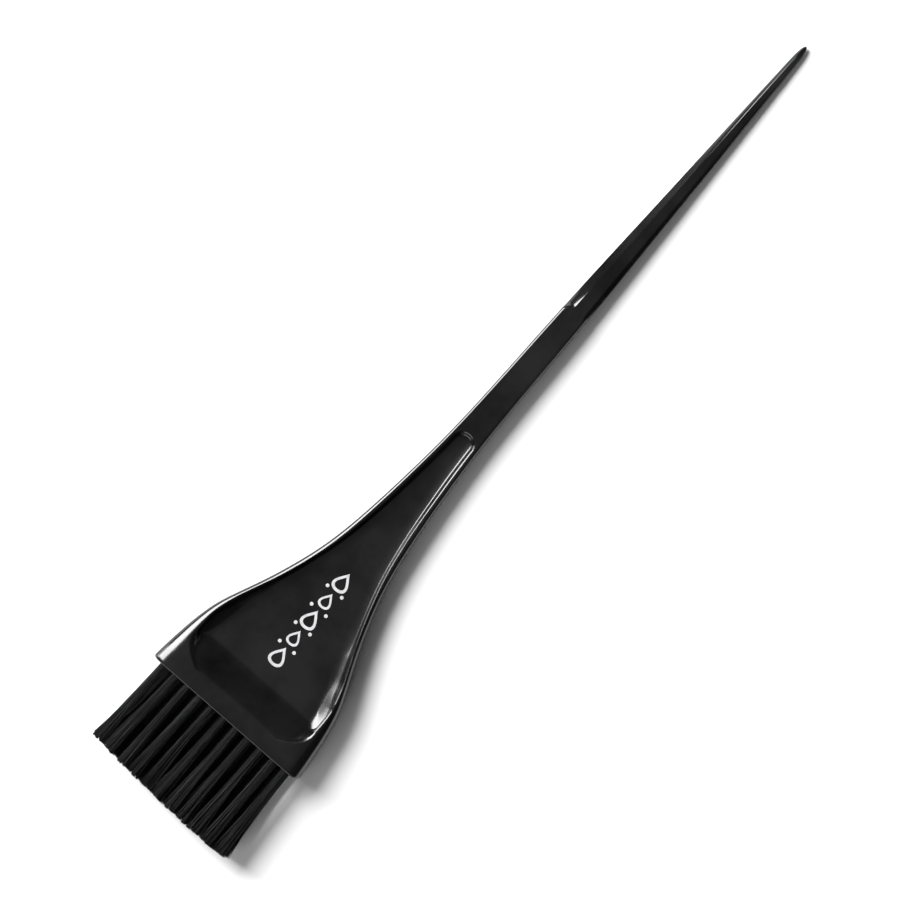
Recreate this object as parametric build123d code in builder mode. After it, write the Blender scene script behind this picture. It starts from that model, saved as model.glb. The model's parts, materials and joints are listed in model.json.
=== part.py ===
"""Tint brush for hair colour: one moulded handle with a pointed tail, thirty-two bristle tufts, and the
flat wire anchors that hold the tufts in their holes.

Frame, in millimetres: the brush lies on its back. +X is across the head, +Y runs from the bristle tips to
the tail's point, and +Z is out of the front face. The origin is under the middle of the overall length, on
the surface that the head's back rests on. Distances called "along" are measured from the head's end face,
where the bristles come out, towards the tail.
"""

import os

from build123d import *

# Overall sizes
OVERALL_LENGTH = 220.0
BRISTLE_LENGTH = 22.8
HEAD_WIDTH = 42.5
HEAD_THICKNESS = 10.0

# Places that follow from them
MID_Z = HEAD_THICKNESS / 2
HEAD_Y = BRISTLE_LENGTH - OVERALL_LENGTH / 2
HANDLE_LENGTH = OVERALL_LENGTH - BRISTLE_LENGTH

# Paddle outline: (along, half width) from the head's straight flank down to the neck
FLANK_END = (11.5, 19.75)
PADDLE = [(18.5, 18.1), (29.6, 13.3), (43.0, 8.7), (56.3, 6.25), (69.6, 4.8)]
NECK_START = (87.0, 3.7)
NECK_END = (118.2, 3.1)
HEAD_CORNER = 0.95

# Side profile: (along, half thickness) from the head's flat land down to the neck
LAND_LENGTH = 3.6
WEDGE = [(13.0, 4.4), (20.0, 3.85), (30.0, 3.25), (42.0, 2.85), (58.0, 2.5)]
NECK_HALF_THICKNESS = 2.3
EDGE_ROUND = 0.9

# Tail: (along, half width, half thickness) of its eight-sided sections. Each long edge is cut back by
# these shares of the half width, a wide bevel on the left and a narrow one on the right, and of the half
# thickness.
TAIL = [
    (NECK_END[0], NECK_END[1], NECK_HALF_THICKNESS),
    (147.0, 2.25, 1.75),
    (189.0, 1.1, 1.0),
    (194.5, 0.8, 0.72),
    (196.2, 0.5, 0.42),
    (HANDLE_LENGTH, 0.2, 0.18),
]
TAIL_CUT_LEFT = 0.62
TAIL_CUT_RIGHT = 0.34
TAIL_CUT_Z = 0.5

# Dished panel, the same on the front and the back: (along, half width) of its flat floor
DISH_MOUTH = (3.0, 15.0)
DISH_FLOOR = [(12.4, 15.2), (19.5, 13.2), (33.0, 9.0), (43.0, 6.0), (55.0, 3.6)]
DISH_END = (80.4, 1.1)
WEB_HALF_THICKNESS = 1.4
DISH_WALL_RUN = 4.5
DISH_WALL_RISE = 4.5
DISH_ROUND = 2.4
RAMP_TOP = 4.4
RAMP_FOOT = 13.4

# Tufts, in three rows: (height over the middle plane, number of tufts)
ROWS = {"front": (2.55, 11), "middle": (0.0, 10), "back": (-2.55, 11)}
TUFT_PITCH = 3.58
HOLE_RADIUS = 1.05
HOLE_DEPTH = 6.5
TUFT_RADIUS = 1.0
TUFT_TIP_X = 1.7
TUFT_TIP_Z = 1.2
TUFT_SPREAD = 1.03

# Anchors: flat wire across each hole, with both ends biting into its wall
ANCHOR_LENGTH = 2.5
ANCHOR_HEIGHT = 1.6
ANCHOR_THICKNESS = 0.35
FOLD_HEIGHT = 0.7


def plan(point):
    """An (along, half width) pair as a point of the plan view."""
    return (point[1], HEAD_Y + point[0])


def profile(point):
    """An (along, half thickness) pair as a point of the side view, above the middle plane."""
    return (HEAD_Y + point[0], MID_Z + point[1])


def tuft_places(count):
    """X of each tuft of a row, centred on the brush."""
    return [(i - (count - 1) / 2) * TUFT_PITCH for i in range(count)]


def end_plane(y, x=0.0, z=MID_Z):
    """A plane across the brush at y, looking out along the bristles."""
    return Plane(origin=(x, y, z), x_dir=(1, 0, 0), z_dir=(0, -1, 0))


def dish_outline(z, grow):
    """The dish's plan outline at a height z, with its walls moved out by the given amount."""
    with BuildSketch(Plane.XY.offset(z)) as outline:
        with BuildLine():
            points = [plan((along, half + grow)) for along, half in [DISH_MOUTH, *DISH_FLOOR, DISH_END]]
            flank = Spline(*points, tangents=[(-0.03, 1), (0, 1)])
            far = DISH_END[1] + grow
            ThreePointArc(flank @ 1, (0, HEAD_Y + DISH_END[0] + far), (-far, HEAD_Y + DISH_END[0]))
            mirror(flank, about=Plane.YZ)
            Line((-points[0][0], points[0][1]), points[0])
        make_face()
    return outline.sketch.face()


# Dish cutter: a flat floor with sloping walls, and a ramp from the floor up to the head's flat land
FLOOR_Z = MID_Z + WEB_HALF_THICKNESS
ROOF_Z = FLOOR_Z + DISH_WALL_RISE
with BuildPart() as dish:
    loft([dish_outline(FLOOR_Z, 0), dish_outline(ROOF_Z, DISH_WALL_RUN)])
    with BuildSketch(Plane.YZ.offset(-HEAD_WIDTH)):
        with BuildLine():
            ramp = Spline(
                (HEAD_Y + RAMP_TOP, HEAD_THICKNESS),
                (HEAD_Y + RAMP_FOOT, FLOOR_Z),
                tangents=[(1, -0.2), (1, 0)],
            )
            Polyline(
                ramp @ 1,
                (HEAD_Y + HANDLE_LENGTH, FLOOR_Z),
                (HEAD_Y + HANDLE_LENGTH, ROOF_Z),
                (HEAD_Y + RAMP_TOP, ROOF_Z),
                ramp @ 0,
            )
        make_face()
    extrude(amount=2 * HEAD_WIDTH, mode=Mode.INTERSECT)
    low_edges = dish.edges().filter_by(lambda e: e.center().Z < ROOF_Z - DISH_WALL_RISE / 2 - 0.1)
    fillet([e for e in low_edges if abs((e @ 0).X - (e @ 1).X) < 0.98 * e.length], DISH_ROUND)

# Anchors, one group of separate pieces for each row
anchor_rows = {}
for row, (row_z, count) in ROWS.items():
    anchor_y = HEAD_Y + HOLE_DEPTH - FOLD_HEIGHT - ANCHOR_HEIGHT / 2
    with BuildPart() as anchors:
        with Locations(*[(x, anchor_y, MID_Z + row_z) for x in tuft_places(count)]):
            Box(ANCHOR_LENGTH, ANCHOR_HEIGHT, ANCHOR_THICKNESS)
    anchors.part.label = f"anchors_{row}_row"
    anchor_rows[row] = anchors.part

# Handle: head, paddle, neck and tail in one moulding
with BuildPart() as handle:
    # Plan outline, as a plate of the head's thickness
    with BuildSketch():
        with BuildLine():
            edge = Polyline((0, HEAD_Y), (HEAD_WIDTH / 2, HEAD_Y), plan(FLANK_END))
            neck = Line(plan(NECK_START), plan(NECK_END))
            Spline(
                plan(FLANK_END),
                *[plan(p) for p in PADDLE],
                plan(NECK_START),
                tangents=[edge % 1, neck % 0],
            )
            Line(plan(NECK_END), (0, HEAD_Y + NECK_END[0]))
            mirror(about=Plane.YZ)
        make_face()
    extrude(amount=HEAD_THICKNESS)
    fillet(handle.edges().filter_by(Axis.Z).group_by(Axis.Y)[0], HEAD_CORNER)
    # Side profile, which thins the plate towards the neck
    with BuildSketch(Plane.YZ.offset(-HEAD_WIDTH)):
        with BuildLine():
            land = Polyline((HEAD_Y, MID_Z), (HEAD_Y, HEAD_THICKNESS), (HEAD_Y + LAND_LENGTH, HEAD_THICKNESS))
            wedge = Spline(
                land @ 1,
                *[profile(p) for p in WEDGE],
                profile((NECK_START[0], NECK_HALF_THICKNESS)),
                tangents=[(1, 0), (1, 0)],
            )
            Polyline(
                wedge @ 1,
                profile((NECK_END[0], NECK_HALF_THICKNESS)),
                (HEAD_Y + NECK_END[0], MID_Z),
            )
            mirror(about=Plane.XZ.offset(-MID_Z))
        make_face()
    extrude(amount=2 * HEAD_WIDTH, mode=Mode.INTERSECT)

    # All the long edges, and the edges of the end face
    rims = handle.edges().filter_by(lambda e: abs(e.center().Z - MID_Z) > 1.5)
    seams = rims.filter_by(Axis.X).filter_by(lambda e: e.center().Y > HEAD_Y + 1)
    fillet([e for e in rims if e not in seams], EDGE_ROUND)
    # Tail, from the step at the neck's end to the point
    for along, half_width, half_thickness in TAIL:
        with BuildSketch(end_plane(HEAD_Y + along)):
            left = -half_width * (1 - TAIL_CUT_LEFT)
            right = half_width * (1 - TAIL_CUT_RIGHT)
            side = half_thickness * (1 - TAIL_CUT_Z)
            with BuildLine():
                Polyline((-half_width, 0), (-half_width, side), (left, half_thickness))
                Polyline((left, half_thickness), (right, half_thickness), (half_width, side), (half_width, 0))
                mirror(about=Plane.XZ)
            make_face()
    loft(ruled=True)
    # Dished panels, front and back
    add(dish.part, mode=Mode.SUBTRACT)
    add(dish.part.mirror(Plane.XY.offset(MID_Z)), mode=Mode.SUBTRACT)
    # Tuft holes and the notches that the anchors press into
    for row_z, count in ROWS.values():
        with BuildSketch(end_plane(HEAD_Y - 1)):
            with Locations(*[(x, row_z) for x in tuft_places(count)]):
                Circle(HOLE_RADIUS)
        extrude(amount=-HOLE_DEPTH - 1, mode=Mode.SUBTRACT)
    for row_anchors in anchor_rows.values():
        add(row_anchors, mode=Mode.SUBTRACT)
handle.part.label = "handle"

# Tufts: round and packed in the hole, fanned out to the trimmed ends
tufts = {}
for row, (row_z, count) in ROWS.items():
    for number, x in enumerate(tuft_places(count), start=1):
        with BuildPart() as tuft:
            with BuildSketch(end_plane(HEAD_Y + HOLE_DEPTH, x, MID_Z + row_z)):
                Circle(TUFT_RADIUS)
            extrude(amount=HOLE_DEPTH)
            with BuildSketch(end_plane(HEAD_Y, x, MID_Z + row_z)):
                Circle(TUFT_RADIUS)
            with BuildSketch(end_plane(-OVERALL_LENGTH / 2, x * TUFT_SPREAD, MID_Z + row_z)):
                Ellipse(TUFT_TIP_X, TUFT_TIP_Z)
            loft()
            add(anchor_rows[row], mode=Mode.SUBTRACT)
        tuft.part.label = f"tuft_{row}_{number:02d}"
        tufts[tuft.part.label] = tuft.part

os.makedirs("parts", exist_ok=True)
for part in [handle.part, *tufts.values(), *anchor_rows.values()]:
    export_step(part, f"parts/{part.label}.step")
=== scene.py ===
import json
import math

import bpy
import bmesh
import numpy as np
from mathutils import Matrix, Vector

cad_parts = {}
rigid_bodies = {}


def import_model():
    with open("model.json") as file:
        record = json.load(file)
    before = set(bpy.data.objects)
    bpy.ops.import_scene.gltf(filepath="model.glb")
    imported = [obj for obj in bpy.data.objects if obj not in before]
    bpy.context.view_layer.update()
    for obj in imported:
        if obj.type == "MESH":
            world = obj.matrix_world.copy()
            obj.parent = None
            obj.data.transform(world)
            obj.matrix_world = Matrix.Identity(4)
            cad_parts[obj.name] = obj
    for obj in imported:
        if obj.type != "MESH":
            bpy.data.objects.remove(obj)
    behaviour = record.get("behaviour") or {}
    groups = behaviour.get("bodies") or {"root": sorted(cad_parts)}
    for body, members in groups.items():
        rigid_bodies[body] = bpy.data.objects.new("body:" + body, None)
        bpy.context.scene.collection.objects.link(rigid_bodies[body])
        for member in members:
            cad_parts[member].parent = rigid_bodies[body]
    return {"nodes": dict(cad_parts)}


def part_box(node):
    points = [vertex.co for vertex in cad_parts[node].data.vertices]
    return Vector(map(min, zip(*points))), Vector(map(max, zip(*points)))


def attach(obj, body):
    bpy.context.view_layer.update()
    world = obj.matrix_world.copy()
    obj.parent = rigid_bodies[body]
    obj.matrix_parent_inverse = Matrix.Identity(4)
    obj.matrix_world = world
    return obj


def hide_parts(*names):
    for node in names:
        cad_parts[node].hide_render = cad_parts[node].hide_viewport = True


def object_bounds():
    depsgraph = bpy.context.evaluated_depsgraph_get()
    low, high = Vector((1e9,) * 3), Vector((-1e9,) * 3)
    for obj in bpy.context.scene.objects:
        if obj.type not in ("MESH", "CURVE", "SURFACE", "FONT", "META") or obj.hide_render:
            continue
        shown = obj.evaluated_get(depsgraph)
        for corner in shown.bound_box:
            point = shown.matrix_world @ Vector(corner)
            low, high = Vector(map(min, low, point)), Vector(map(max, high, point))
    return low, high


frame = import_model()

cad_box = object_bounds()
MM = 0.001

# ---------------------------------------------------------------- sizes
# The brush is worked out in millimetres, and its floor, lamps and camera in metres. "Along" is measured from
# the head's end face towards the tail's point, and "front" is the face that looks up, along +Z.
handle_lo, handle_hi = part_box("handle")
HEAD_Y = handle_lo.y / MM
LENGTH = (handle_hi.y - handle_lo.y) / MM
MID_Z = (handle_lo.z + handle_hi.z) / 2 / MM
HALF_THICK = (handle_hi.z - handle_lo.z) / 2 / MM
TIP_Y = cad_box[0].y / MM

# the head's flat land and rounded end, the neck's step, the tail's rounded point, and the parting line
LAND_LENGTH = 3.6
HEAD_CORNER = 0.9
END_LIP = 0.3
NECK_END = 118.2
NOSE_START = 190
PARTING_RIDGE = 0.03

# the dished panel: half the thickness of its web, its round far end, and the ramp up to the head's land
WEB = 1.4
DISH_END = 80.4
DISH_END_RADIUS = 1.1
DISH_REACH = DISH_END + 6
RAMP_FOOT = 12.05
RAMP_SLOPE = 0.5

# the tail's long bevels, as shares of the half width and of the half thickness
BEVEL_RIGHT = (0.34, 0.36)
BEVEL_LEFT = (0.70, 0.78)

# the tuft holes, and how much longer a row of tufts is at its trimmed ends
HOLE_RADIUS = 1.05
HOLE_DEPTH = 6.5
HOLE_SIDES = 28
TUFT_SPREAD = 1.03

# one tuft's filaments: how many, their radius, how far they fan out across and in height, and how uneven
FOLDED_FILAMENTS = 50
FILAMENT_RADIUS = (0.086, 0.102)
FILAMENT_SIDES = 5
LEG_POINTS = 10
LOCKS = 6
FAN_OUT = (2.3, 1.45)
END_SCATTER = 0.16
TUFT_LEAN = 0.30
CURL = 0.09
STRAY_SHARE = 0.04
TRIM_SCATTER = 0.07

# the printed motif, as a skin of ink that starts just inside the dish floor
PRINT_CENTRE = 29.0
DROPS = 5
DROP_PITCH = 5.4
DROP_HEIGHTS = (5.0, 4.0)
DROP_SIDES = 48
DOT_RADIUS = 0.42
DOT_SIDES = 24
INK_FOOT = -0.01
INK_TOP = 0.02


# ---------------------------------------------------------------- small helpers
def spline(points, end_slopes=(None, None)):
    """A smooth curve through (along, value) points, straight outside them. An end slope of None is free."""
    xs = np.array([p[0] for p in points], float)
    ys = np.array([p[1] for p in points], float)
    count = len(xs)
    gap = np.diff(xs)
    # the slope at each point, from equal curvature on its two sides
    rows = np.zeros((count, count))
    known = np.zeros(count)
    for i in range(1, count - 1):
        rows[i, i - 1 : i + 2] = 1 / gap[i - 1], 2 / gap[i - 1] + 2 / gap[i], 1 / gap[i]
        known[i] = 3 * ((ys[i] - ys[i - 1]) / gap[i - 1] ** 2 + (ys[i + 1] - ys[i]) / gap[i] ** 2)
    rows[0, :2] = 2 / gap[0], 1 / gap[0]
    known[0] = 3 * (ys[1] - ys[0]) / gap[0] ** 2
    rows[-1, -2:] = 1 / gap[-1], 2 / gap[-1]
    known[-1] = 3 * (ys[-1] - ys[-2]) / gap[-1] ** 2
    for end, end_slope in zip((0, -1), end_slopes):
        if end_slope is not None:
            rows[end] = 0
            rows[end, end] = 1
            known[end] = end_slope
    slope = np.linalg.solve(rows, known)

    def at(x):
        x = np.asarray(x, float)
        inside = np.clip(x, xs[0], xs[-1])
        i = np.clip(np.searchsorted(xs, inside) - 1, 0, count - 2)
        t = (inside - xs[i]) / gap[i]
        value = (
            (2 * t**3 - 3 * t**2 + 1) * ys[i]
            + (t**3 - 2 * t**2 + t) * gap[i] * slope[i]
            + (3 * t**2 - 2 * t**3) * ys[i + 1]
            + (t**3 - t**2) * gap[i] * slope[i + 1]
        )
        return value + (x - inside) * np.where(x < inside, slope[0], slope[-1])

    return at


def smooth(lo, hi, x):
    """A soft step from 0 at lo to 1 at hi, whichever of the two is the greater."""
    t = np.clip((np.asarray(x, float) - lo) / (hi - lo), 0, 1)
    return t * t * t * (t * (6 * t - 15) + 10)


def smin(a, b, k):
    """The lower of two surfaces, blended where they are within k of each other."""
    share = np.clip(0.5 + 0.5 * (b - a) / k, 0, 1)
    return b + (a - b) * share - k * share * (1 - share)


def smax(a, b, k):
    """The higher of two surfaces, blended where they are within k of each other."""
    return -smin(-a, -b, k)


def link_object(name, data):
    """A new object in the scene, with the given data."""
    obj = bpy.data.objects.new(name, data)
    bpy.context.scene.collection.objects.link(obj)
    return obj


def new_piece(name, verts, faces, mat, sharp):
    """A mesh object from millimetre points, smooth except at edges over the given angle."""
    mesh = bpy.data.meshes.new(name)
    mesh.from_pydata([tuple(v) for v in np.asarray(verts, float) * MM], [], faces)
    mesh.materials.append(mat)
    mesh.validate()
    mesh.update()
    finish_normals(mesh, sharp)
    return link_object(name, mesh)


def finish_normals(mesh, sharp):
    """Outward normals and smooth shading, except at edges over the given angle."""
    bm = bmesh.new()
    bm.from_mesh(mesh)
    bmesh.ops.recalc_face_normals(bm, faces=bm.faces)
    for face in bm.faces:
        face.smooth = True
    limit = math.radians(sharp)
    for edge in bm.edges:
        edge.smooth = len(edge.link_faces) == 2 and edge.calc_face_angle(0) < limit
    bm.to_mesh(mesh)
    bm.free()


# ---------------------------------------------------------------- node helpers
def material(name):
    """A new material with its node tree, its shader and its object coordinates."""
    mat = bpy.data.materials.new(name)
    mat.use_nodes = True
    tree = mat.node_tree
    tree.nodes.clear()
    out = tree.nodes.new("ShaderNodeOutputMaterial")
    shader = tree.nodes.new("ShaderNodeBsdfPrincipled")
    tree.links.new(shader.outputs[0], out.inputs[0])
    coords = tree.nodes.new("ShaderNodeTexCoord").outputs["Object"]
    return mat, tree, shader, coords


def node(tree, kind, **values):
    """A new node, with the given values set on its sockets or on itself."""
    made = tree.nodes.new(kind)
    for key, value in values.items():
        if key in made.inputs:
            made.inputs[key].default_value = value
        else:
            setattr(made, key, value)
    return made


def ramp(tree, source, stops):
    """A ramp over source, through (position, grey or colour) stops."""
    made = tree.nodes.new("ShaderNodeValToRGB")
    ends = made.color_ramp.elements
    while len(ends) < len(stops):
        ends.new(0.5)
    for end, (position, value) in zip(ends, stops):
        end.position = position
        end.color = (*value, 1) if isinstance(value, tuple) else (value, value, value, 1)
    tree.links.new(source, made.inputs[0])
    return made.outputs[0]


def noise(tree, coords, scale, detail, rough=0.5, stretch=(1, 1, 1), turn=0.0):
    """Noise drawn out by the given factors along axes that are turned about Z."""
    mapping = node(tree, "ShaderNodeMapping", vector_type="TEXTURE", Scale=stretch, Rotation=(0, 0, turn))
    tree.links.new(coords, mapping.inputs[0])
    made = node(tree, "ShaderNodeTexNoise", Scale=scale, Detail=detail, Roughness=rough)
    tree.links.new(mapping.outputs[0], made.inputs["Vector"])
    return made.outputs["Fac"]


def math_node(tree, operation, a, b):
    """a and b, each a number or a socket, joined by a math operation."""
    made = node(tree, "ShaderNodeMath", operation=operation)
    for socket, value in zip(made.inputs, (a, b)):
        if isinstance(value, (int, float)):
            socket.default_value = value
        else:
            tree.links.new(value, socket)
    return made.outputs[0]


def bump(tree, height, strength, distance, under=None):
    """A bump from a height, on top of another bump if there is one."""
    made = node(tree, "ShaderNodeBump", Strength=strength, Distance=distance)
    tree.links.new(height, made.inputs["Height"])
    if under is not None:
        tree.links.new(under, made.inputs["Normal"])
    return made.outputs[0]


# ---------------------------------------------------------------- materials
def black_plastic():
    """Polished black moulding with faint mottling, flow waviness and patches of fine handling scratches. The
    mottling's lighter blotches in the base colour are painted reflection, standing in for surroundings
    mirrored by a wavy surface; the same mottling also varies the roughness.
    """
    mat, tree, shader, coords = material("black_gloss_plastic")
    mottle = noise(tree, coords, 48, 5, 0.6)
    flow = noise(tree, coords, 38, 2, 0.5, (1, 3, 1))
    grain = noise(tree, coords, 2600, 2, 0.6)
    hair_a = noise(tree, coords, 5200, 1, 0.5, (1, 26, 1), 0.5)
    hair_b = noise(tree, coords, 4600, 1, 0.5, (1, 20, 1), -0.9)
    worn = noise(tree, coords, 120, 2, 0.5)
    scratch = math_node(
        tree,
        "MAXIMUM",
        ramp(tree, hair_a, [(0.66, 0.0), (0.74, 1.0)]),
        ramp(tree, hair_b, [(0.68, 0.0), (0.76, 1.0)]),
    )
    scratch = math_node(tree, "MULTIPLY", scratch, ramp(tree, worn, [(0.5, 0.0), (0.65, 1.0)]))
    # painted reflection: the lighter base colour in the blotches stands in for reflected surroundings, not a
    # milky plastic
    deep, painted_reflection = (0.0004, 0.0004, 0.0005), (0.0058, 0.0058, 0.0061)
    tree.links.new(ramp(tree, mottle, [(0.40, deep), (0.64, painted_reflection)]), shader.inputs["Base Color"])
    rough = ramp(tree, mottle, [(0.3, 0.15), (0.75, 0.22)])
    rough = math_node(tree, "ADD", rough, math_node(tree, "MULTIPLY", scratch, 0.06))
    tree.links.new(rough, shader.inputs["Roughness"])
    shader.inputs["IOR"].default_value = 1.58
    shape = bump(tree, flow, 0.10, 0.0004)
    shape = bump(tree, grain, 0.05, 0.00003, shape)
    shape = bump(tree, scratch, 0.07, 0.00002, shape)
    tree.links.new(shape, shader.inputs["Normal"])
    return mat


def nylon():
    """Satin black filament, with a slow change of tone from hair to hair and faint drawing lines."""
    mat, tree, shader, coords = material("black_nylon")
    strands = noise(tree, coords, 1100, 2, 0.5, (1, 25, 1))
    patch = noise(tree, coords, 140, 2, 0.5)
    fine, broad = math_node(tree, "MULTIPLY", strands, 0.6), math_node(tree, "MULTIPLY", patch, 0.4)
    tone = math_node(tree, "ADD", fine, broad)
    dark, light = (0.0006, 0.0006, 0.0007), (0.0036, 0.0036, 0.0038)
    tree.links.new(ramp(tree, tone, [(0.3, dark), (0.7, light)]), shader.inputs["Base Color"])
    tree.links.new(ramp(tree, strands, [(0.3, 0.24), (0.7, 0.36)]), shader.inputs["Roughness"])
    shader.inputs["IOR"].default_value = 1.22
    tree.links.new(bump(tree, strands, 0.15, 0.00003), shader.inputs["Normal"])
    return mat


def wire():
    """Drawn flat brass wire."""
    mat, tree, shader, coords = material("drawn_brass")
    lines = noise(tree, coords, 4000, 2, 0.5, (20, 1, 1))
    dull, bright = (0.62, 0.47, 0.22), (0.8, 0.65, 0.36)
    tree.links.new(ramp(tree, lines, [(0.3, dull), (0.7, bright)]), shader.inputs["Base Color"])
    tree.links.new(ramp(tree, lines, [(0.3, 0.28), (0.7, 0.42)]), shader.inputs["Roughness"])
    shader.inputs["Metallic"].default_value = 1
    tree.links.new(bump(tree, lines, 0.2, 0.00001), shader.inputs["Normal"])
    return mat


def ink():
    """Pad-printed white ink: slightly uneven cover with a soft satin face."""
    mat, tree, shader, coords = material("white_print")
    cover = noise(tree, coords, 1500, 3, 0.6)
    thin, full = (0.36, 0.36, 0.37), (0.50, 0.50, 0.51)
    tree.links.new(ramp(tree, cover, [(0.25, thin), (0.6, full)]), shader.inputs["Base Color"])
    tree.links.new(ramp(tree, cover, [(0.3, 0.42), (0.7, 0.55)]), shader.inputs["Roughness"])
    tree.links.new(bump(tree, cover, 0.2, 0.00001), shader.inputs["Normal"])
    return mat


def pale_floor():
    """A matt pale table top with a very faint change of tone."""
    mat, tree, shader, coords = material("pale_floor")
    tone = noise(tree, coords, 6, 2, 0.5)
    darker, lighter = (0.86, 0.86, 0.86), (0.88, 0.88, 0.88)
    tree.links.new(ramp(tree, tone, [(0.3, darker), (0.7, lighter)]), shader.inputs["Base Color"])
    shader.inputs["Roughness"].default_value = 0.9
    return mat


# ---------------------------------------------------------------- handle shape
# half width of the plan outline
half_width = spline(
    [
        (0, 21.1), (9.5, 20.02), (13.7, 19.3), (18.5, 18.02), (23.2, 16.1), (29.6, 13.3), (36.3, 10.78),
        (43, 8.72), (56.3, 6.26), (69.6, 4.78), (77.2, 4.15), (86, 3.68), (100, 3.35), (NECK_END, 3.07),
        (147, 2.25), (189, 1.05), (LENGTH, 0.8),
    ]
)
# half thickness of the side profile
half_thick = spline(
    [
        (LAND_LENGTH, HALF_THICK), (6.5, 4.8), (9, 4.52), (13, 4.27), (20, 3.83), (30, 3.25), (42, 2.83),
        (58, 2.5), (84, 2.3), (NECK_END, 2.2), (147, 1.75), (177, 1.2), (LENGTH, 0.8),
    ],
    (0, None),
)
# half width of the dish's flat floor
floor_width = spline(
    [
        (5.2, 8.5), (6.8, 10.8), (8.3, 12.4), (9.8, 13.6), (11.4, 14.35), (13.2, 14.6), (15.9, 14.15),
        (19.5, 13.15), (33, 8.95), (43, 6.0), (55, 3.65), (68, 2.0), (DISH_END, DISH_END_RADIUS),
    ],
    (1.7, 0),
)
# reach of the rounded long edges, across and down
round_x = spline([(0, 3.7), (5, 3.5), (11, 2.6), (17, 1.6), (32, 1.15), (60, 0.9), (NECK_END, 0.7)], (0, 0))
round_z = spline([(0, 2.4), (5, 2.3), (16, 1.8), (32, 1.35), (60, 1.05), (NECK_END, 0.9)], (0, 0))


def section(along, side, inset=0.0):
    """Points from the middle of the front face round to the middle of one side, as (x, z) with x positive.
    side is 1 for the right and -1 for the left, and inset moves the whole section in."""
    width = float(half_width(along))
    thick = float(half_thick(max(along, LAND_LENGTH)))
    if along < HEAD_CORNER:
        width -= HEAD_CORNER - math.sqrt(HEAD_CORNER**2 - (HEAD_CORNER - along) ** 2)
    # the reach of the rounded or bevelled edge, across and down
    tail = float(smooth(NECK_END - 0.8, NECK_END + 2.0, along))
    cut_x, cut_z = BEVEL_RIGHT if side > 0 else BEVEL_LEFT
    reach_x = float(round_x(min(along, NECK_END))) * (1 - tail) + cut_x * width * tail
    reach_z = float(round_z(min(along, NECK_END))) * (1 - tail) + cut_z * thick * tail
    # the bevels are flat, but a little crowned just past the step and towards the point
    crown = 1.0 + 0.22 * float(smooth(NECK_END + 6, NECK_END + 2.5, along))
    crown += 0.22 * float(smooth(NECK_END + 40, LENGTH - 15, along))
    power = 2.3 * (1 - tail) + crown * tail
    width, thick = width - inset, thick - inset
    reach_x, reach_z = max(reach_x - inset, 0.02 * width), max(reach_z - inset, 0.02 * thick)
    # front face, with close points from near the dish floor's edge out to the rim
    flat, top = width - reach_x, thick - reach_z
    floor_edge = min(float(floor_width(min(max(along, 10.5), DISH_END))), 0.75 * flat)
    close = floor_edge - min(1.0, 0.5 * floor_edge)
    face = [(x, thick) for x in (*np.linspace(0, close, 9)[:-1], *np.linspace(close, flat, 35)[:-1])]
    corner = [
        (flat + reach_x * math.cos(t) ** (2 / power), top + reach_z * math.sin(t) ** (2 / power))
        for t in (1 - np.linspace(0, 1, 17)) * math.pi / 2
    ]
    # side, down to the fine ridge of the parting line
    ridge = min(0.10, 0.2 * top)
    flank = [(width, top * k) for k in (0.75, 0.5, 0.25)]
    flank += [(width, ridge), (width + PARTING_RIDGE, ridge * 0.6), (width + PARTING_RIDGE, 0)]
    return np.array(face + corner + flank, float)


def dish_surface(x, along):
    """Height over the middle plane of the dished panel: a flat floor, a ramp up to the head's land, and a
    wall that starts gently and steepens to the rim."""
    # distance out from the floor's edge, square to it
    at = np.minimum(along, DISH_END)
    base = floor_width(at)
    lean = np.sqrt(1 + ((floor_width(at + 0.05) - floor_width(at - 0.05)) / 0.1) ** 2)
    round_end = np.hypot(x, along - DISH_END) - DISH_END_RADIUS
    outside = np.where(along > DISH_END, round_end, (x - base) / lean)
    # the wall's run and rise, its gentle slope, and where the steep slope takes over
    room = half_width(at) - round_x(at) - base - 0.6 * smooth(35, 60, along)
    room = np.clip(room, 1.3, 3.0 + 1.6 * smooth(13.5, 5, along)) / lean
    rise = half_thick(np.maximum(at, LAND_LENGTH)) - WEB
    share = 0.29 + 0.07 * smooth(24, 17, along)
    gentle = np.minimum(0.40 - 0.22 * smooth(20, 34, along), share * rise / room)
    turn = (0.65 + 0.2 * smooth(22, 15, along) - 0.5 * smooth(12.0, 8.5, along)) * room
    steep = (rise - gentle * turn) / (room - turn)
    wall = smax(gentle * outside, gentle * turn + steep * (outside - turn), 0.3)
    wall = smax(wall, 0 * wall, np.minimum(0.25, 0.8 * gentle * base))
    ramp_up = smax(RAMP_SLOPE * (RAMP_FOOT - along), 0 * wall, 1.1)
    return WEB + smax(wall, ramp_up, 0.55 * smooth(16.0, 12.0, along) + 1e-6)


def half_ring(along, side, inset):
    """One side's points, round from the middle of the front face to the middle of the back face. On the
    tail's rounded point, inset is None."""
    if inset is None:
        shrink = math.sqrt(max(0.0, 1 - ((along - NOSE_START) / (LENGTH - NOSE_START)) ** 4.5))
        x, z = section(along, side).T * shrink
    else:
        x, z = section(along, side, inset).T
    if along < DISH_REACH and inset == 0:
        z = smin(dish_surface(x, along), z, 0.45 + 0.5 * float(smooth(12, 7, along)))
    front = np.column_stack([x, z])
    return np.vstack([front, (front * [1, -1])[::-1][1:]])


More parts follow.
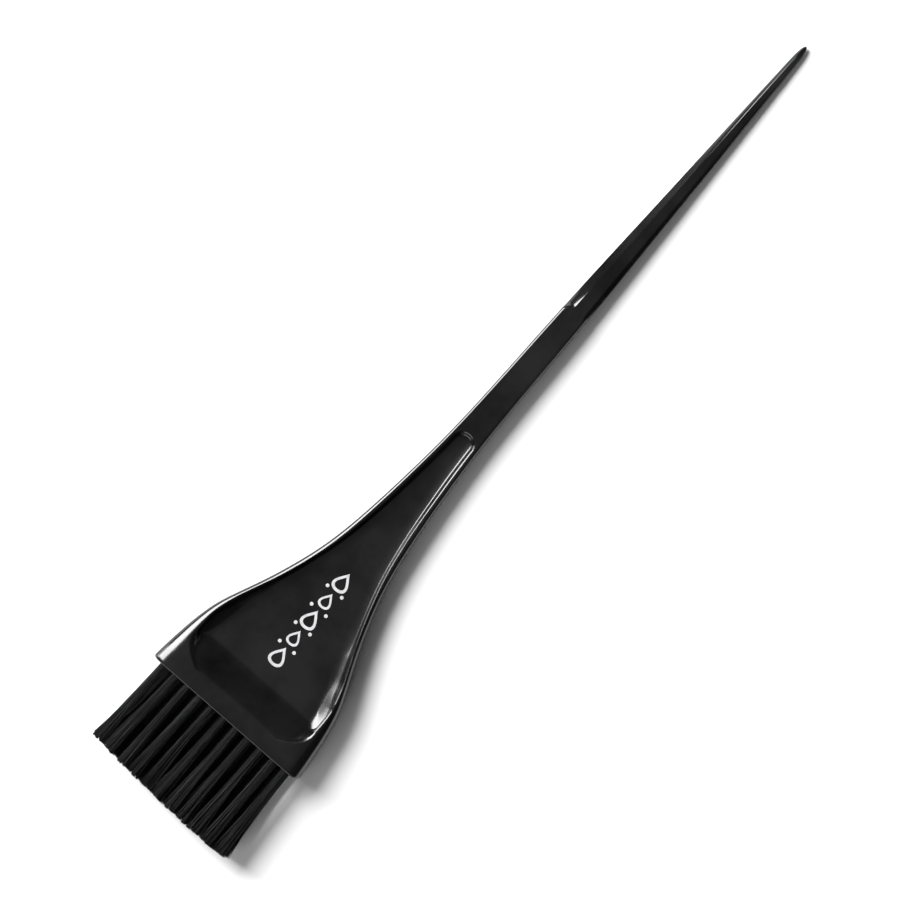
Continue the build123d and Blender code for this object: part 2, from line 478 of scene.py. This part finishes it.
def handle_stations():
    """(along, inset) of each ring: the end lip, the body, and the rounded point, where inset is None."""
    quarter = np.linspace(0, math.pi / 2, 8)[:-1]
    stations = [(END_LIP * (1 - math.cos(t)), END_LIP * (1 - math.sin(t))) for t in quarter]
    # the body's spans, as (start, stop, number of rings), closest at the ramp, the dish's end and the step
    spans = [
        (END_LIP, 4, 12), (4, 20, 64), (20, 77, 84), (77, 84, 50), (84, 117, 22), (117, 120.5, 36),
        (120.5, NOSE_START, 44),
    ]
    for start, stop, count in spans:
        stations += [(along, 0.0) for along in np.linspace(start, stop, count + 1)[:-1]]
    nose = LENGTH - NOSE_START
    return stations + [(NOSE_START + nose * math.sin(t), None) for t in np.linspace(0, math.pi / 2, 16)[:-1]]


def fill_end_face(bm, border):
    """The end face inside its border, with a blind hole for each tuft."""
    loops = [border]
    for x, z in tuft_roots().values():
        mouth = [
            bm.verts.new(Vector((x + HOLE_RADIUS * math.cos(a), HEAD_Y, z + HOLE_RADIUS * math.sin(a))) * MM)
            for a in np.linspace(0, 2 * math.pi, HOLE_SIDES, endpoint=False)
        ]
        bottom = [bm.verts.new(v.co + Vector((0, HOLE_DEPTH * MM, 0))) for v in mouth]
        for i in range(HOLE_SIDES):
            j = (i + 1) % HOLE_SIDES
            bm.faces.new((mouth[i], mouth[j], bottom[j], bottom[i]))
        bm.faces.new(bottom)
        loops.append(mouth)
    edges = []
    for loop in loops:
        for i in range(len(loop)):
            pair = (loop[i], loop[(i + 1) % len(loop)])
            edges.append(bm.edges.get(pair) or bm.edges.new(pair))
    bmesh.ops.triangle_fill(bm, use_beauty=True, use_dissolve=False, edges=edges)


def build_handle(mat):
    """The whole moulding as one closed skin of rings, with its end face and tuft holes."""
    verts, faces = [], []
    for along, inset in handle_stations():
        right, left = half_ring(along, 1, inset), half_ring(along, -1, inset)
        loop = np.vstack([right, (left * [-1, 1])[::-1][1:-1]])
        verts += [(x, HEAD_Y + along, MID_Z + z) for x, z in loop]
    count = len(loop)
    last = len(verts) - count
    for low in range(0, last, count):
        high = low + count
        for i in range(count):
            j = (i + 1) % count
            faces.append((low + i, low + j, high + j, high + i))
    point = len(verts)
    verts.append((0, HEAD_Y + LENGTH, MID_Z))
    faces += [(last + i, last + (i + 1) % count, point) for i in range(count)]
    # a narrow flat border round the end face
    border_x, border_z = 0.994, 0.975
    start = len(verts)
    verts += [(x * border_x, HEAD_Y, MID_Z + (z - MID_Z) * border_z) for x, _, z in verts[:count]]
    faces += [(start + i, start + (i + 1) % count, (i + 1) % count, i) for i in range(count)]

    mesh = bpy.data.meshes.new("handle_moulding")
    mesh.from_pydata([tuple(c * MM for c in v) for v in verts], [], faces)
    bm = bmesh.new()
    bm.from_mesh(mesh)
    bm.verts.ensure_lookup_table()
    fill_end_face(bm, [bm.verts[start + i] for i in range(count)])
    bm.to_mesh(mesh)
    bm.free()
    mesh.materials.append(mat)
    finish_normals(mesh, 38)
    return link_object("handle_moulding", mesh)


# ---------------------------------------------------------------- tufts
def tuft_roots():
    """Each tuft node's hole centre as (x, z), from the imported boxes."""
    roots = {}
    for name in sorted(frame["nodes"]):
        if name.startswith("tuft_"):
            lo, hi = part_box(name)
            roots[name] = ((lo.x + hi.x) / 2 / MM / TUFT_SPREAD, (lo.z + hi.z) / 2 / MM)
    return roots


def trim_line(x):
    """How far the cut ends stand out past the nominal length at x: a slightly slanting, bowed cut."""
    return 0.45 + 0.042 * x - 0.0016 * x * x + 0.10 * math.sin(0.9 * x)


def hole_places():
    """Where the upper legs stand in the hole: four rings in a half disc."""
    places = []
    for radius, number in ((0.13, 2), (0.34, 5), (0.57, 9), (0.80, 13)):
        for k in range(number):
            angle = math.pi * (k + 0.5) / number
            places.append((radius * math.cos(angle), radius * math.sin(angle)))
    return places


def draw_locks(rng):
    """Centres of the locks that the bundle splits into towards its ends."""
    locks = []
    for k in range(LOCKS):
        angle = 2 * math.pi * (k + rng.uniform(-0.3, 0.3)) / LOCKS
        locks.append((rng.uniform(0.35, 0.75) * math.cos(angle), rng.uniform(0.35, 0.75) * math.sin(angle)))
    return np.array(locks)


def draw_leg(rng, root, place, sign, locks, lean):
    """A filament's free leg, above the anchor or below it: its points from the hole's mouth to its cut end,
    and where it stands deeper in the hole."""
    root_x, root_z = root
    leg_x = place[0] + rng.normal(0, 0.04)
    leg_z = sign * abs(place[1]) * 0.97
    nearest = locks[np.argmin(np.hypot(locks[:, 0] - leg_x, locks[:, 1] - leg_z))]
    pull = rng.uniform(0.25, 0.65)
    end = np.array([leg_x, leg_z]) * (1 - pull) + nearest * pull
    end = end * FAN_OUT + rng.normal(0, END_SCATTER, 2) + lean
    curl = rng.normal(0, CURL, 2)
    # a few hairs stray
    if rng.random() < STRAY_SHARE:
        end += rng.normal(0, 0.55, 2)
        curl *= 2.2
    length = HEAD_Y - TIP_Y + trim_line(root_x + end[0]) + rng.normal(0, TRIM_SCATTER)
    points = []
    for t in np.linspace(0, 1, LEG_POINTS):
        fan = 0.15 * t + 0.85 * t**2
        bow = math.sin(math.pi * t) * t
        x = root_x * (1 + (TUFT_SPREAD - 1) * t) + leg_x + (end[0] - leg_x) * fan + curl[0] * bow
        z = root_z + leg_z + (end[1] - leg_z) * fan + curl[1] * bow
        points.append((x, HEAD_Y - length * t, z))
    return points, (root_x + leg_x, root_z + sign * (0.26 + 0.68 * abs(place[1])))


def draw_filament(rng, root, place, locks, lean):
    """Centre line and radius of one filament: a leg, the fold round the anchor, and the other leg."""
    place = np.array(place) + rng.normal(0, 0.05, 2)
    up, (up_x, up_z) = draw_leg(rng, root, place, 1, locks, lean)
    down, (down_x, down_z) = draw_leg(rng, root, place, -1, locks, lean)
    # inside the hole: down past the anchor, round its far edge and back up
    shallow = HEAD_Y + 3.2
    bottom = HEAD_Y + HOLE_DEPTH - 0.62 + 0.3 * abs(place[1])
    middle, half_fold = (up_x + down_x) / 2, 0.12
    inside = [
        (up_x, shallow, up_z),
        (up_x, bottom - 0.3, up_z),
        (middle, bottom + 0.05, root[1] + half_fold),
        (middle, bottom + 0.05, root[1] - half_fold),
        (down_x, bottom - 0.3, down_z),
        (down_x, shallow, down_z),
    ]
    return np.array(up[::-1] + inside + down), rng.uniform(*FILAMENT_RADIUS)


def add_filament(path, radius, verts, faces):
    """A thin closed tube along a path, a little narrower at its ends."""
    radii = np.full(len(path), radius)
    radii[[0, -1]] *= 0.8
    start = len(verts)
    tangents = np.gradient(path, axis=0)
    tangents /= np.linalg.norm(tangents, axis=1)[:, None]
    across = np.array([1.0, 0, 0])
    for point, tangent, reach in zip(path, tangents, radii):
        across = across - tangent * across.dot(tangent)
        across /= np.linalg.norm(across)
        other = np.cross(tangent, across)
        for c in range(FILAMENT_SIDES):
            angle = 2 * math.pi * c / FILAMENT_SIDES
            verts.append(point + reach * (math.cos(angle) * across + math.sin(angle) * other))
    last = len(verts) - FILAMENT_SIDES
    for low in range(start, last, FILAMENT_SIDES):
        high = low + FILAMENT_SIDES
        for c in range(FILAMENT_SIDES):
            d = (c + 1) % FILAMENT_SIDES
            faces.append((low + c, low + d, high + d, high + c))
    for ring in (start, last):
        faces.append(tuple(ring + c for c in range(FILAMENT_SIDES)))


def build_tuft(name, root, seed, mat):
    """Loose filaments, each folded in half round the anchor, fanned out to the trimmed ends."""
    rng = np.random.default_rng(seed)
    lean = rng.normal(0, TUFT_LEAN, 2)
    places = hole_places()
    locks = draw_locks(rng)
    verts, faces = [], []
    for k in range(FOLDED_FILAMENTS):
        path, radius = draw_filament(rng, root, places[k % len(places)], locks, lean)
        add_filament(path, radius, verts, faces)
    return new_piece(name.replace("tuft", "bristles"), verts, faces, mat, 75)


# ---------------------------------------------------------------- printed motif
def add_drop(y, height, verts, faces):
    """A plain teardrop outline that points along -Y, as a flat ribbon of ink."""
    width, hollow = 0.55 * height, 0.66
    outer = []
    for a in np.linspace(0, 2 * math.pi, DROP_SIDES, endpoint=False):
        x = math.sin(a) * math.sin(a / 2) ** 1.6
        outer.append((x * width, y + math.cos(a) * height / 2))
    outer = np.array(outer)
    middle = np.array([0, y - 0.12 * height])
    inner = middle + (outer - middle) * hollow
    start = len(verts)
    foot, top = MID_Z + WEB + INK_FOOT, MID_Z + WEB + INK_TOP
    for ring, z in ((outer, foot), (outer, top), (inner, top), (inner, foot)):
        verts.extend((px, py, z) for px, py in ring)
    for k in range(4):
        low, high = start + k * DROP_SIDES, start + (k + 1) % 4 * DROP_SIDES
        for i in range(DROP_SIDES):
            j = (i + 1) % DROP_SIDES
            faces.append((low + i, low + j, high + j, high + i))


def add_dot(x, y, verts, faces):
    """A small round spot of ink."""
    start = len(verts)
    turns = np.linspace(0, 2 * math.pi, DOT_SIDES, endpoint=False)
    for z in (MID_Z + WEB + INK_FOOT, MID_Z + WEB + INK_TOP):
        verts.extend((x + DOT_RADIUS * math.cos(a), y + DOT_RADIUS * math.sin(a), z) for a in turns)
    low, high = start, start + DOT_SIDES
    faces.append(tuple(range(low, low + DOT_SIDES)))
    faces.append(tuple(range(high, high + DOT_SIDES)))
    for i in range(DOT_SIDES):
        j = (i + 1) % DOT_SIDES
        faces.append((low + i, low + j, high + j, high + i))


def build_print(mat):
    """A row of plain drops, large and small in turn, with two dots in each gap, in thin raised ink."""
    dot_x = 2.1
    verts, faces = [], []
    for k in range(DROPS):
        y = HEAD_Y + PRINT_CENTRE + (k - DROPS // 2) * DROP_PITCH
        add_drop(y, DROP_HEIGHTS[k % 2], verts, faces)
        if k < DROPS - 1:
            for side in (-1, 1):
                add_dot(side * dot_x, y + DROP_PITCH / 2, verts, faces)
    return new_piece("printed_drops", verts, faces, mat, 30)


# ---------------------------------------------------------------- assemble
plastic, nylon_mat, wire_mat, ink_mat = black_plastic(), nylon(), wire(), ink()

handle = build_handle(plastic)
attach(handle, "root")
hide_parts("handle")

for number, (tuft, root) in enumerate(tuft_roots().items()):
    bristles = build_tuft(tuft, root, 100 + number, nylon_mat)
    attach(bristles, "root")
    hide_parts(tuft)

motif = build_print(ink_mat)
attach(motif, "root")

for obj in bpy.context.scene.objects:
    if obj.type == "MESH" and obj.name.startswith("anchors_"):
        for slot in obj.material_slots:
            slot.material = wire_mat


# ---------------------------------------------------------------- floor, light and camera
def build_floor():
    """A pale matt table that touches the back of the head and the underside of the tail."""
    # how far past the land the tail touches, and its half thickness there
    tail_place, tail_half_thick = 189.0, 1.0
    half_side = 3.0
    tilt = math.atan2(MID_Z - tail_half_thick, tail_place)
    pivot = Vector((0, (HEAD_Y + LAND_LENGTH) * MM, 0))
    turn = Matrix.Translation(pivot) @ Matrix.Rotation(tilt, 4, "X") @ Matrix.Translation(-pivot)
    corners = [Vector((x * half_side, y * half_side, 0)) for x, y in ((-1, -1), (1, -1), (1, 1), (-1, 1))]
    mesh = bpy.data.meshes.new("floor")
    mesh.from_pydata([tuple(turn @ corner) for corner in corners], [], [(0, 1, 2, 3)])
    mesh.materials.append(pale_floor())
    obj = link_object("floor", mesh)


def softbox(name, place, aim, width, height, watts):
    """A rectangular lamp, with its places and sides in metres."""
    data = bpy.data.lights.new(name, "AREA")
    data.shape = "RECTANGLE"
    data.size, data.size_y = width, height
    data.energy = watts
    obj = link_object(name, data)
    obj.location = place
    obj.rotation_mode = "QUATERNION"
    obj.rotation_quaternion = (Vector(aim) - Vector(place)).to_track_quat("-Z", "Y")


def build_light():
    """A large key light on the left, a fill from the bristle end, a faint top light and a low edge light."""
    world = bpy.data.worlds.new("studio")
    world.use_nodes = True
    background = world.node_tree.nodes["Background"]
    background.inputs["Color"].default_value = (1, 1, 1, 1)
    background.inputs["Strength"].default_value = 0.045
    bpy.context.scene.world = world
    bpy.context.scene.view_settings.view_transform = "Standard"
    softbox("key", (-0.705, 0.055, 0.69), (0, -0.01, 0), 0.50, 0.70, 22.0)
    softbox("front_fill", (0.0, -0.80, 0.42), (0, 0, 0), 0.8, 0.5, 3.6)
    softbox("overhead", (0.0, 0.0, 1.4), (0, 0, 0), 1.0, 1.0, 0.40)
    softbox("low", (-0.34, -0.13, 0.10), (0, -0.07, 0.005), 0.10, 0.14, 0.35)


def build_camera():
    """A long lens over the brush, rolled so that the tail points to the upper right."""
    distance, view_width = 0.9, 0.200
    yaw, roll = math.radians(4.0), math.radians(49.14)
    shift_right, shift_up = 0.00726, 0.00642
    data = bpy.data.cameras.new("camera")
    data.sensor_width = 36
    data.lens = data.sensor_width * distance / view_width
    data.clip_start, data.clip_end = 0.01, 20
    back = Vector((math.sin(yaw), 0, math.cos(yaw)))
    ahead = Vector((0, 1, 0))
    along = (ahead - back * ahead.dot(back)).normalized()
    across = along.cross(back)
    right = math.cos(roll) * along + math.sin(roll) * across
    up = math.sin(roll) * along - math.cos(roll) * across
    target = Vector((0, 0, MID_Z * MM)) - right * shift_right - up * shift_up
    view = Matrix((right, up, back)).transposed().to_4x4()
    view.translation = target + back * distance
    obj = link_object("camera", data)
    obj.matrix_world = view
    bpy.context.scene.camera = obj


build_floor()
build_light()
build_camera()
